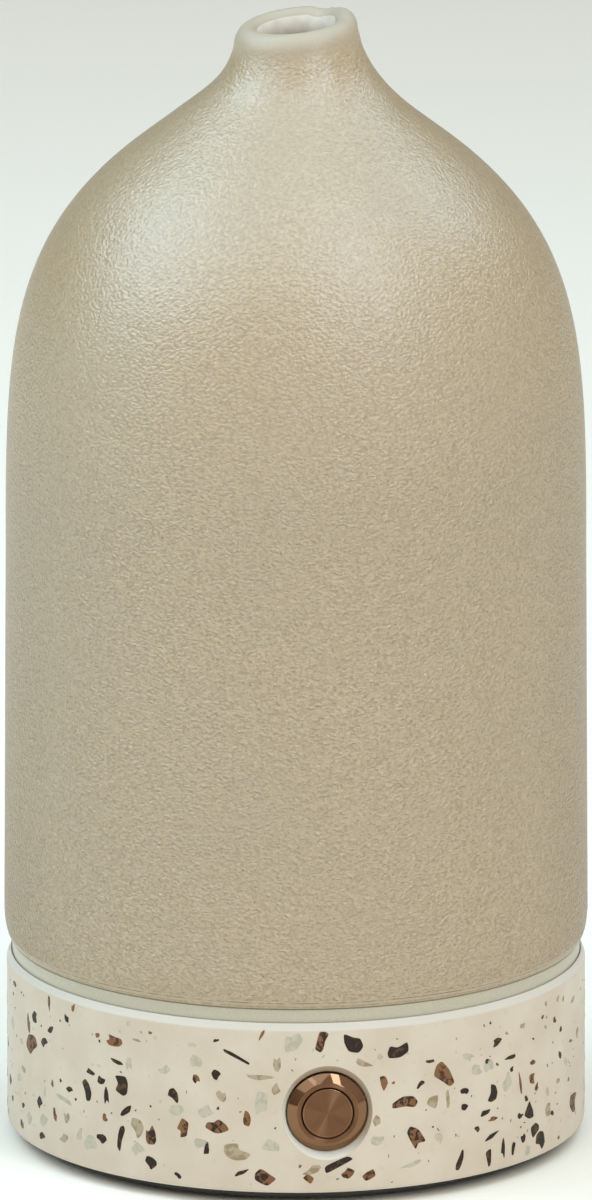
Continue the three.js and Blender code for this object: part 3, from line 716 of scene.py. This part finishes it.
# Larger chips on the front: degrees round from the button towards +X, height above the base's lower edge,
# width, tallness, and lean clockwise in degrees.
FRONT_CHIPS = {
    "black": [
        (-51, 17.5, 2.4, 1.1, 20), (-48, 16.5, 1.6, 1.7, -20), (-52, 14, 1.9, 3.4, -20),
        (-43, 16.5, 2.7, 3.2, -35), (-31, 16, 1.7, 2.6, -20), (-42, 12, 2.9, 1.2, -30),
        (-22, 20.5, 1.5, 1.8, 0), (-18, 24, 4.6, 0.8, 28), (-44, 20.5, 2.8, 0.8, 15),
        (-43, 7, 1.2, 4.3, 8), (-48, 6, 1.9, 1.6, 0), (-36, 3.5, 2.2, 2.1, 0), (-24, 7, 0.9, 2.6, 15),
        (-17, 3.5, 3.2, 0.9, -32), (-30, 2, 1.2, 0.8, 20), (5, 26.5, 2.9, 3.9, -12),
        (14, 24.5, 3.6, 2.8, -10), (19, 18, 0.9, 1.8, 40), (21, 22, 1.4, 0.8, 0),
        (29, 15.5, 1.7, 1.2, 15), (29, 13, 1.3, 1.8, 0), (36, 14, 2, 2.8, 5), (34, 11, 2, 1.2, -15),
        (47, 8.5, 2.2, 3.4, 10), (36, 6.5, 3.5, 0.9, -20), (49, 5, 2.2, 2.6, 20),
        (39, 3.5, 0.8, 3.4, 0), (42, 3, 1.1, 2.4, 5), (35, 2.6, 1.6, 3, 12), (28, 3.6, 1.1, 3.6, 16),
        (51, 2.8, 2.4, 3.4, 10), (2, 5, 5, 1.9, -32), (59, 16.5, 1, 1.9, -30),
        (-58, 25.7, 0.9, 1.4, -30), (-70, 23.4, 1.9, 1.7, -25), (-63.5, 22.5, 1.9, 1.3, -20),
        (-66, 19.7, 2.4, 1.6, 10), (-82, 26.6, 2, 0.9, 0), (-22, 26.7, 1, 0.6, -25),
        (-57, 13.2, 1.7, 1.1, 0), (-68, 8.6, 1.5, 1.8, -15), (-76, 6.1, 1.3, 1.2, 0),
        (-67, 2.7, 2.1, 1.7, -10), (-46.6, 13.8, 0.9, 3, 0), (37, 23, 2.2, 1.2, -15),
        (34.7, 20, 0.9, 0.9, 0), (41, 19.5, 2.6, 0.9, -5), (41.5, 17.4, 1, 0.8, 0),
        (45.8, 11.3, 0.9, 1.2, -30), (44, 8.7, 1.5, 1.1, 0), (45, 4.6, 1.3, 1.7, -20),
        (32, 8.3, 1.1, 1.1, 0), (55.4, 6.7, 1.2, 1, 0), (56.5, 23.2, 1, 1.3, -30),
        (59.4, 21, 0.9, 1.4, 30), (35.5, 26.7, 0.5, 0.5, 0),
    ],
    "mixed": [
        (-26, 19.5, 1.1, 1.8, -20), (-22, 11.5, 3.4, 2.2, 8), (-36, 8.5, 1.9, 3.4, 10),
        (-12, 2.8, 3.5, 2.8, 20), (-1, 27, 1.7, 3.6, 16), (16, 15, 4, 2.5, -8),
        (18, 8.5, 2.2, 5.2, -42), (4, 3.5, 1.9, 1.6, 0), (8, 3, 2.3, 1.9, 0),
        (-71.5, 18.2, 4, 3.4, -20), (-64, 27.2, 0.7, 2.7, -3), (67, 6.2, 3.4, 3.4, 25),
        (-77, 2.8, 1.6, 1.7, 0),
    ],
    "brown": [
        (-13, 28, 0.6, 2.1, 32), (-45, 24, 3.3, 1.7, 5), (-16, 13, 1.6, 2.6, 0),
        (-29, 10.5, 1.9, 3.2, 12), (11, 19, 1.6, 2.8, 0), (24, 19, 3, 4.6, -40), (-4, 2.6, 1.7, 1.7, 0),
        (44, 14.5, 0.8, 4.3, -12), (48, 14.5, 1.8, 2.4, 5), (36, 9.5, 2, 0.8, 0),
        (-56, 28, 0.8, 1.5, 15), (-73, 21.7, 1, 3.4, -4), (-49, 24.4, 0.9, 0.9, 0),
        (-36, 26.7, 0.7, 0.8, 0), (-63, 13.1, 0.8, 1.2, 0), (-62, 7.9, 1.1, 2.2, -12),
        (-87, 8.4, 2.5, 1.8, 0), (-84, 5.4, 1.6, 1.2, 0), (-47, 10, 1.2, 1.2, 30),
        (48, 17.4, 1.4, 0.9, 0), (49.5, 12.7, 0.9, 1.4, 20), (51.5, 24.7, 0.8, 0.7, 0),
        (65, 17.6, 1.5, 0.9, 0), (63.5, 10.9, 0.9, 0.9, 0), (58.4, 1.6, 0.8, 0.7, 0),
    ],
    "beige": [
        (-21, 17, 1.5, 2, -20), (-13, 20.5, 4.2, 0.9, 4), (-10, 23, 1.1, 3.1, 0), (-18, 7, 3.8, 3, 0),
        (-39, 9.5, 2.2, 3.3, 0), (7.2, 22.8, 3, 1.3, 20), (10, 12.5, 1.4, 2.2, 8),
        (22, 14.5, 2.4, 2.3, 0), (-10, 18.5, 1.6, 2, 0), (25, 14.5, 0.7, 3.4, 0),
        (-3, 4.2, 2.8, 1.3, -20), (-39, 24.9, 1.7, 0.5, 5), (-58, 8.1, 1.4, 1.9, 0),
        (-59, 4.1, 2, 1.3, -20), (-76, 12.8, 1.7, 1.3, 0), (58, 12, 1.1, 1.3, 0),
        (58, 26.6, 1, 1.1, 30), (60.6, 26, 0.9, 1, 0), (66.5, 24.8, 1.4, 1.2, 0),
        (52.8, 26.8, 0.9, 0.9, 0), (52.6, 22.7, 0.9, 0.8, 0), (44.7, 24.6, 1.2, 1, 0),
        (40, 24.1, 1.1, 0.5, 15), (54, 7.6, 2, 2.2, 0), (69.8, 18, 1.8, 1.8, 0),
    ],
    "pale": [
        (-13, 15.5, 2.2, 5, 0), (-11, 8, 2.8, 2.7, 15), (-7, 27, 2.6, 3.6, 20), (-26, 22.5, 2, 2.4, 0),
        (-33, 20.5, 2.2, 1.4, -20), (-41, 20.5, 1.1, 2.4, 0), (-30, 13.5, 2.4, 2.1, 0),
        (-24, 14, 3, 2.2, -25), (-39, 5.5, 2.4, 2.8, 15), (-25, 8, 2.6, 1.8, 10), (32, 19, 2.4, 1.8, 0),
        (35, 19, 1.9, 2.2, 0), (17, 4, 4.4, 1, -18), (10, 9, 2, 1.6, 0), (23, 8, 1.5, 2, 0),
        (40, 15.5, 2.4, 3.2, 0), (30, 21.5, 2, 1.2, 20), (10.3, 23.8, 1.4, 0.9, 30),
        (-41, 27.7, 0.8, 1.1, 40), (-35, 26, 0.6, 1, -20), (-27, 25.4, 1.3, 0.8, 0),
        (-59, 11, 4.4, 1, 12), (-54, 5.8, 1.2, 2.8, 22), (-51, 4.6, 2.2, 2.8, 0),
        (-66.4, 5.7, 3.2, 2.2, 0), (-66, 11, 0.8, 1.9, -5), (-79, 10.8, 1.3, 1.8, 0),
        (-84, 18.9, 2.5, 2.2, -10), (-77, 17.4, 1.8, 1.1, 0), (-72.7, 4.8, 1.6, 2.2, 0),
        (46.6, 1.9, 1.5, 1.7, 25), (53.4, 10.9, 1.4, 1.6, 0), (62, 14.3, 1.4, 2.2, 0),
    ],
}
CHIP_LOOKS = {
    "black": chip_stone("chip_black", srgb(52, 42, 36), srgb(86, 62, 46), 0.15, 0.36),
    "mixed": chip_stone("chip_mixed", srgb(56, 44, 37), srgb(126, 88, 60), 0.5, 0.38),
    "brown": chip_stone("chip_brown", srgb(130, 92, 62), srgb(80, 56, 42), 0.25, 0.4),
    "beige": chip_stone("chip_beige", srgb(172, 154, 129), srgb(150, 132, 106), 0.4, 0.45),
    "pale": chip_stone("chip_pale", srgb(189, 179, 160), srgb(179, 169, 148), 0.45, 0.45),
}
# A broken outline dents inwards, so the front chips are drawn a little over their listed size.
WIDER = 1.14
TALLER = 1.06
SCATTER_MIX = ["black"] * 9 + ["mixed"] * 3 + ["brown"] * 6 + ["beige"] * 6 + ["pale"] * 9


def chip_outline(rng, width, tall, lean):
    """The broken outline of one stone fragment, about its own middle."""
    corners = rng.randint(5, 8)
    dented = rng.randrange(corners)
    start = rng.uniform(0, 2 * math.pi)
    broken = []
    for i in range(corners):
        a = start + 2 * math.pi * (i + rng.uniform(-0.3, 0.3)) / corners
        reach = rng.uniform(0.3, 0.6) if i == dented else rng.uniform(0.85, 1.3)
        broken.append(Vector((width / 2 * reach * math.cos(a), tall / 2 * reach * math.sin(a))))
    points = broken
    for cut in (0.16, 0.25):
        softened = []
        for here, after in zip(points, points[1:] + points[:1]):
            softened += [here.lerp(after, cut), here.lerp(after, 1 - cut)]
        points = softened
    turn = Matrix.Rotation(-math.radians(lean), 2)
    return [turn @ p for p in points]


def add_chip(sheet, outline, degrees, height):
    """Sets a thin slab with that outline flush in the base's wall, in strips that follow its curve."""
    proud, depth, strip = 0.02, 0.25, 0.7
    outer = -1  # marks the outward side in Y, until the slab is bent round
    stone = bmesh.new()
    stone.faces.new([stone.verts.new((p.x, 0, p.y)) for p in outline])
    widest = max(abs(p.x) for p in outline)
    line = -math.floor(widest / strip) * strip
    while line < widest:
        geometry = stone.verts[:] + stone.edges[:] + stone.faces[:]
        bmesh.ops.bisect_plane(stone, geom=geometry, plane_co=(line, 0, 0), plane_no=(1, 0, 0))
        line += strip
    grown = bmesh.ops.extrude_face_region(stone, geom=stone.faces[:])
    for vertex in (v for v in grown["geom"] if isinstance(v, bmesh.types.BMVert)):
        vertex.co.y = outer
    for vertex in stone.verts:
        radius = BASE_R + (proud if vertex.co.y < outer / 2 else -depth)
        a = math.radians(degrees) + vertex.co.x / BASE_R
        place = Vector((radius * math.sin(a), -radius * math.cos(a), BASE_BOTTOM + height + vertex.co.z))
        vertex.co = place * MM
    bmesh.ops.recalc_face_normals(stone, faces=stone.faces)
    mesh = bpy.data.meshes.new("chip")
    stone.to_mesh(mesh)
    stone.free()
    sheet.from_mesh(mesh)
    bpy.data.meshes.remove(mesh)


class ChipField:
    """Keeps chips apart, and off the button's recess and the inlet."""

    def __init__(self):
        self.taken = []
        self.keep_out = [(0, SWITCH_Z - BASE_BOTTOM, 8.9), (180, JACK_Z - BASE_BOTTOM, 6.2)]

    def free(self, degrees, height, radius):
        for other, other_height, other_radius in self.taken + self.keep_out:
            across = math.radians((degrees - other + 180) % 360 - 180) * BASE_R
            if math.hypot(across, height - other_height) < radius + other_radius:
                return False
        return True


def terrazzo_chips():
    """The stone fragments: larger ones at the front as listed, the rest by a seeded scatter."""
    rng = random.Random(11)
    field = ChipField()
    listed, scattered, clearance = 0.42, 0.5, 0.55  # radii kept clear, as shares of a chip's length
    chips = []
    for kind, rows in FRONT_CHIPS.items():
        for degrees, height, width, tall, lean in rows:
            chips.append((kind, degrees, height, WIDER * width, TALLER * tall, lean))
            field.taken.append((degrees, height, max(width, tall) * listed))
    lowest, highest = 0.8, BASE_TOP - BASE_BOTTOM - 3
    front = -6  # the middle of the stretch that the list covers, in degrees
    sizes = [(104, 2, 4.6, 84), (124, 1, 2.2, 84), (260, 0.35, 0.9, 0)]
    for count, smallest, largest, clear_of_front in sizes:
        placed = 0
        while placed < count:
            degrees = rng.uniform(-180, 180)
            long_side = rng.triangular(smallest, largest, smallest)
            short_side = long_side * rng.uniform(0.3, 0.95)
            height = rng.uniform(lowest + long_side / 2, highest - long_side / 2)
            free = field.free(degrees, height, long_side * clearance)
            if abs(degrees - front) < clear_of_front or not free:
                continue
            lean = rng.uniform(-80, 80)
            chips.append((rng.choice(SCATTER_MIX), degrees, height, short_side, long_side, lean))
            field.taken.append((degrees, height, long_side * scattered))
            placed += 1
    for kind, look in CHIP_LOOKS.items():
        sheet = bmesh.new()
        for chip_kind, degrees, height, width, tall, lean in chips:
            if chip_kind == kind:
                add_chip(sheet, chip_outline(rng, width, tall, lean), degrees, height)
        mesh = bpy.data.meshes.new(f"chips_{kind}")
        sheet.to_mesh(mesh)
        sheet.free()
        mesh.materials.append(look)
        obj = linked(f"chips_{kind}", mesh)
        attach(obj, "base")


def light_ring():
    """The frosted ring round the tank, with the upstand that centres the cover."""
    bottom = ring_low.z
    top = RING_TOP + UPSTAND
    shelf = RING_TOP + 0.2
    under = RING_TOP - 1.5
    rim = RING_R + 0.15
    outer_r, inner_r = 46.2, 44.8  # of the upstand
    bore_r = 40.7
    outline = rounded(
        [
            (BORE_R, bottom),
            (rim, bottom),
            (rim, shelf, 0.2),
            (outer_r, shelf, 0.4),
            (outer_r, top, 0.5),
            (inner_r, top, 0.5),
            (inner_r, RING_TOP, 0.4),
            (bore_r, RING_TOP, 0.4),
            (bore_r, under),
            (BORE_R, under),
        ],
        0.15,
    )
    piece("glow_ring", turned(outline, 256), FROSTED, stands_for=["light_ring"])


def bottom_plate():
    """The underside: slots for air, recesses for feet and screws, and a moulded groove."""
    bottom = plate_low.z
    groove = bottom + 0.35
    edge_r = plate_high.x
    flange_top = BASE_BOTTOM - GAP
    lip_r, lip_inner, lip_top = 43.4, 41.8, bottom + 3.8
    floor = bottom + 2
    flange = [(0, bottom), (edge_r, bottom, 0.6), (edge_r, flange_top), (lip_r, flange_top, 0)]
    outline = [
        (0, bottom),
        (19, bottom),
        (19.3, groove),
        (20.2, groove),
        (20.5, bottom),
        *rounded(flange)[1:],
        (lip_r, lip_top),
        (lip_inner, lip_top),
        (lip_inner, floor),
        (0, floor),
    ]
    outside = -1  # a height that is below everything
    grille_r = 10.5
    cut = []
    for x in (-8, -4, 0, 4, 8):
        half = math.sqrt(grille_r**2 - x**2)
        cut.append(block(FAN_X + x - 1, FAN_X + x + 1, -half, half, outside, bottom + 4))
    mouth_r, bore_r, ceiling = 3.4, 3, bottom + 1.1
    corners = [(0, outside), (mouth_r, outside, 0), (mouth_r, bottom, 0), (bore_r, bottom + 0.4)]
    recess = rounded(corners + [(bore_r, ceiling), (0, ceiling)], 0.1)
    for degrees in SCREW_ANGLES:
        cut.append(moved(turned(recess, 48), *around(SCREW_CIRCLE, degrees)))
    for i in range(4):
        middle = middle_mm(f"rubber_foot_{i + 1}")
        cut.append(moved(rod(5.3, outside, bottom + 0.5), middle.x, middle.y))
    shape = turned(outline, 224)
    piece("underside", shape, BLACK_PLASTIC, stands_for=["bottom_cover"], cut=cut)


def feet():
    """Rubber pads with a shallow dimple in the middle."""
    dimple = 0.15
    pad_r = 5
    for i in range(4):
        node = f"rubber_foot_{i + 1}"
        middle = middle_mm(node)
        top = box_mm(node)[1].z
        outline = [
            (0, dimple),
            (1.6, dimple),
            (1.9, 0),
            (2.6, 0),
            *rounded([(0, 0), (pad_r, 0, 0.45), (pad_r, top, 0.2), (0, top)], 0.2)[1:],
        ]
        shape = moved(turned(outline, 64), middle.x, middle.y)
        piece(f"foot_pad_{i + 1}", shape, DARK_RUBBER, stands_for=[node])


def case_screws():
    """Cross-head screws that hold the bottom plate, each left at its own angle."""
    shank_r, head_r = 1.2, 2.7
    arm, half_width = 1.5, 0.3
    for i in range(len(SCREW_ANGLES)):
        node = f"case_screw_{i + 1}"
        low, high = box_mm(node)
        middle = middle_mm(node)
        under = low.z + 0.8
        cross_top = low.z + 0.6
        head = [(0, low.z), (2.2, low.z, 0.5), (head_r, low.z + 0.5), (head_r, under), (shank_r, under, 0)]
        outline = rounded(head, 0.1) + [(shank_r, high.z - 1.2), (0, high.z)]
        cross = [
            block(-arm, arm, -half_width, half_width, -1, cross_top),
            block(-half_width, half_width, -arm, arm, -1, cross_top),
        ]
        turn = Matrix.Rotation(math.radians(20 + 35 * i), 4, "Z")
        cut = [moved(shape, middle.x, middle.y, turn=turn) for shape in cross]
        shape = moved(turned(outline, 48), middle.x, middle.y)
        piece(f"cross_screw_{i + 1}", shape, STEEL, stands_for=[node], cut=cut)


# ---- The tank ----
def water_tank():
    """The milky tank with its fill line, the transducer's well and the air tower."""
    bottom = deck_top + GAP
    floor = bottom + 2.5
    rim = tank_high.z
    boss = tank_low.z
    tank_r = tank_high.x
    bore = tank_r - 1.6
    fill = rim - 34.4
    ridge = 0.5  # how far the fill line stands out
    seat = boss + 3
    seat_r = 12
    boss_r = 15.5
    well_r = 8.4
    outline = rounded(
        [
            (seat_r, boss),
            (boss_r, boss),
            (boss_r, bottom),
            (tank_r, bottom, 2),
            (tank_r, rim, 0.5),
            (bore, rim, 0.5),
            (bore, fill + ridge),
            (bore - ridge, fill),
            (bore, fill - ridge),
            (bore, floor, 2.5),
            (14, floor, 1),
            (well_r, seat + 1.6, 0.6),
            (well_r, seat),
            (seat_r, seat),
        ],
        0.15,
    )
    tower_r = 8
    tower_foot = bottom + 0.6
    tower_top = floor + 39.8
    tower = rounded([(0, tower_foot), (tower_r, tower_foot), (tower_r, tower_top, 0.7), (0, tower_top)], 0.2)
    piece(
        "tank",
        turned(outline, 160),
        MILKY,
        stands_for=["water_tank"],
        join=[moved(turned(tower, 64), FAN_X)],
        cut=[moved(rod(6.4, bottom - 1, tower_top + 1), FAN_X)],
    )


def transducer():
    """The ultrasonic disc at the bottom of its well, dished in the middle, and its gasket."""
    low, high = box_mm("transducer_disc")
    disc_r = 10.4
    dish = high.z - 0.12
    corners = [(0, low.z), (disc_r, low.z), (disc_r, high.z), (6, high.z), (5.6, dish), (0, dish)]
    outline = rounded(corners, 0.1)
    piece("mist_disc", turned(outline, 96), STEEL, stands_for=["transducer_disc"])
    low, high = box_mm("transducer_gasket")
    middle = (low.z + high.z) / 2
    end = 0.5
    sleeve = arc((high.x - end, middle), end, end, -90, 90, 6) + arc((9.1, middle), end, end, 90, 270, 6)
    piece("disc_gasket", turned(sleeve, 96), SILICONE, stands_for=["transducer_gasket"])


# ---- The power switch, turned about the button's axis with its front plane at 0 ----
def polish(obj, smallest_r, shallowest, deepest):
    """Makes the faces outside a radius, and between two depths behind the front plane, mirror bright."""
    obj.data.materials.append(POLISHED)
    bright_slot = 1
    for face in obj.data.polygons:
        depth = face.center.y / MM - SWITCH_Y
        radius = math.hypot(face.center.x, face.center.z - SWITCH_Z * MM) / MM
        if radius > smallest_r and shallowest < depth < deepest:
            face.material_index = bright_slot


def power_switch():
    """The bezel on its barrel, the cap, and the return spring, which shortens as the cap goes in."""
    place = Matrix.Translation((0, SWITCH_Y, SWITCH_Z)) @ FACING_FRONT
    bezel = [
        (2.4, -18),
        (5.9, -18),
        (5.9, -2, 0),
        (6.9, -2),
        (6.9, -1.15, 0.1),
        (5.35, 0, 0.12),
        (4.7, 0, 0.1),
        (4.55, -0.25, 0.05),
        (4.55, -8),
        (2.4, -8),
    ]
    shape = moved(turned(rounded(bezel, 0.1), 192), turn=place)
    switch = piece("button_bezel", shape, BRUSHED, stands_for=["switch_barrel"], sharp=20)
    polish(switch, 5.3, 0.001, 2.1)
    cap = [(0, -11), (2.1, -11), (2.1, -2.4, 0), (4.35, -2.4), (4.35, -0.1, 0.24), (0, -0.1)]
    shape = moved(turned(rounded(cap, 0.1), 192), turn=place)
    button = piece("button_face", shape, BRUSHED, "button", ["button_cap"], sharp=50)
    polish(button, 4.12, 0, 11)
    front, rear = spring_low.y, spring_high.y
    wire = 0.3
    shape = coil(spring_high.x - wire, wire, SWITCH_Y - rear + wire, SWITCH_Y - front - wire, 4)
    spring = piece("return_spring", moved(shape, turn=place), STEEL, stands_for=["switch_spring"])
    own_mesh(spring)


def power_inlet():
    """The round socket at the back and its centre pin."""
    low, high = box_mm("jack_pin")
    tip = jack_high.y
    corners = [(2.9, 42), (4.1, 42), (4.1, tip, 0.35), (2.9, tip, 0.45), (2.9, 42, 0)]
    nose = rounded(corners, 0.1)[:-5]  # ends where its mouth starts to round, which leaves a taper
    body = block(jack_low.x, jack_high.x, jack_low.y, 43.2, jack_low.z, jack_high.z)
    piece(
        "inlet_socket",
        body,
        BLACK_PLASTIC,
        stands_for=["dc_jack"],
        join=[moved(turned(nose, 64), z=JACK_Z, turn=FACING_BACK)],
        cut=[moved(rod(2.9, 35, 44), z=JACK_Z, turn=FACING_BACK)],
    )
    pin = rounded([(0, low.y), (1, low.y), (1, high.y, 0.8), (0, high.y)], 0.1)
    shape = moved(turned(pin, 48), z=JACK_Z, turn=FACING_BACK)
    piece("inlet_pin", shape, STEEL, stands_for=["jack_pin"])


def finish_carried_nodes():
    """Gives every CAD node the material of its slot."""
    for part in frame["record"]["subparts"]:
        mesh = frame["nodes"][part["node"]].data
        mesh.materials.clear()
        mesh.materials.append(SLOT_LOOKS[part["material_slot"]])


# ---- Studio ----
def camera():
    """A long lens, six degrees to the left of the button and looking a little down."""
    data = bpy.data.cameras.new("camera")
    data.lens = 523.4
    data.sensor_width = 36
    data.clip_end = 20
    obj = linked("camera", data)
    side = math.radians(-6.2)
    away, up = 2906.4, 844
    obj.location = Vector((away * math.sin(side), -away * math.cos(side), up)) * MM
    aim = Vector((0, 0, 94.1)) * MM
    obj.rotation_euler = (aim - obj.location).to_track_quat("-Z", "Y").to_euler()
    bpy.context.scene.camera = obj


def softbox(name, azimuth, elevation, away, width, height, power, color):
    """A soft light aimed at the object; azimuth 0 is straight in front and 90 is on the right."""
    data = bpy.data.lights.new(name, "AREA")
    data.shape = "RECTANGLE"
    data.size = width * MM
    data.size_y = height * MM
    data.energy = power
    data.color = color
    obj = linked(name, data)
    a, e = math.radians(azimuth), math.radians(elevation)
    outward = Vector((math.cos(e) * math.sin(a), -math.cos(e) * math.cos(a), math.sin(e)))
    aim = Vector((0, 0, 110))
    obj.location = (aim + outward * away) * MM
    obj.rotation_euler = (-outward).to_track_quat("-Z", "Y").to_euler()


def room_light():
    """The light of a plain room: warm, brightest from the front right, dimmer from behind."""
    world = bpy.data.worlds.new("room")
    world.use_nodes = True
    nodes = world.node_tree.nodes
    links = world.node_tree.links
    brightest = Vector((0.5, -1, 0.4))
    facing = nodes.new("ShaderNodeVectorMath")
    facing.operation = "DOT_PRODUCT"
    links.new(nodes.new("ShaderNodeTexCoord").outputs["Generated"], facing.inputs[0])
    facing.inputs[1].default_value = brightest.normalized()
    strength = nodes.new("ShaderNodeMapRange")
    for socket, value in {"From Min": -0.5, "From Max": 1, "To Min": 0.1, "To Max": 0.77}.items():
        strength.inputs[socket].default_value = value
    links.new(facing.outputs["Value"], strength.inputs["Value"])
    background = nodes["Background"]
    background.inputs["Color"].default_value = (1, 0.945, 0.86, 1)
    links.new(strength.outputs["Result"], background.inputs["Strength"])
    return world


def studio():
    """Daylight from windows and skylights, the room's light, and a pale floor."""
    cool = (0.8, 0.9, 1)
    blue = (0.58, 0.84, 1)
    softbox("window_left", -88, 32, 1000, 520, 760, 3.7, blue)
    softbox("skylight_left", -122, 47, 1000, 480, 480, 2.4, blue)
    softbox("window_front", -52, 37, 1200, 860, 600, 1.8, cool)
    softbox("ceiling", -60, 80, 1100, 1400, 1500, 8.4, (0.64, 0.85, 1))
    softbox("skylight_right", 112, 46, 1000, 480, 480, 2.2, blue)
    softbox("tall_window", 34, 47, 1150, 260, 900, 4.0, (0.74, 0.89, 1))
    softbox("small_window", 25, 18, 1200, 220, 180, 1.3, blue)
    bpy.context.scene.world = room_light()
    size = 40
    corners = [(-size, -size, 0), (size, -size, 0), (size, size, 0), (-size, size, 0)]
    mesh = bpy.data.meshes.new("floor")
    mesh.from_pydata(corners, [], [(0, 1, 2, 3)])
    look = Look("floor_paper", srgb(250, 241, 228), 0.8)
    look.bump(look.noise(1.5, detail=2), 0.02)
    mesh.materials.append(look.material)
    floor = linked("floor", mesh)
    bpy.context.scene.view_settings.view_transform = "Standard"


camera()
studio()
finish_carried_nodes()
ceramic_cover()
mist_hood()
terrazzo_base()
terrazzo_chips()
light_ring()
bottom_plate()
feet()
case_screws()
water_tank()
transducer()
power_switch()
power_inlet()
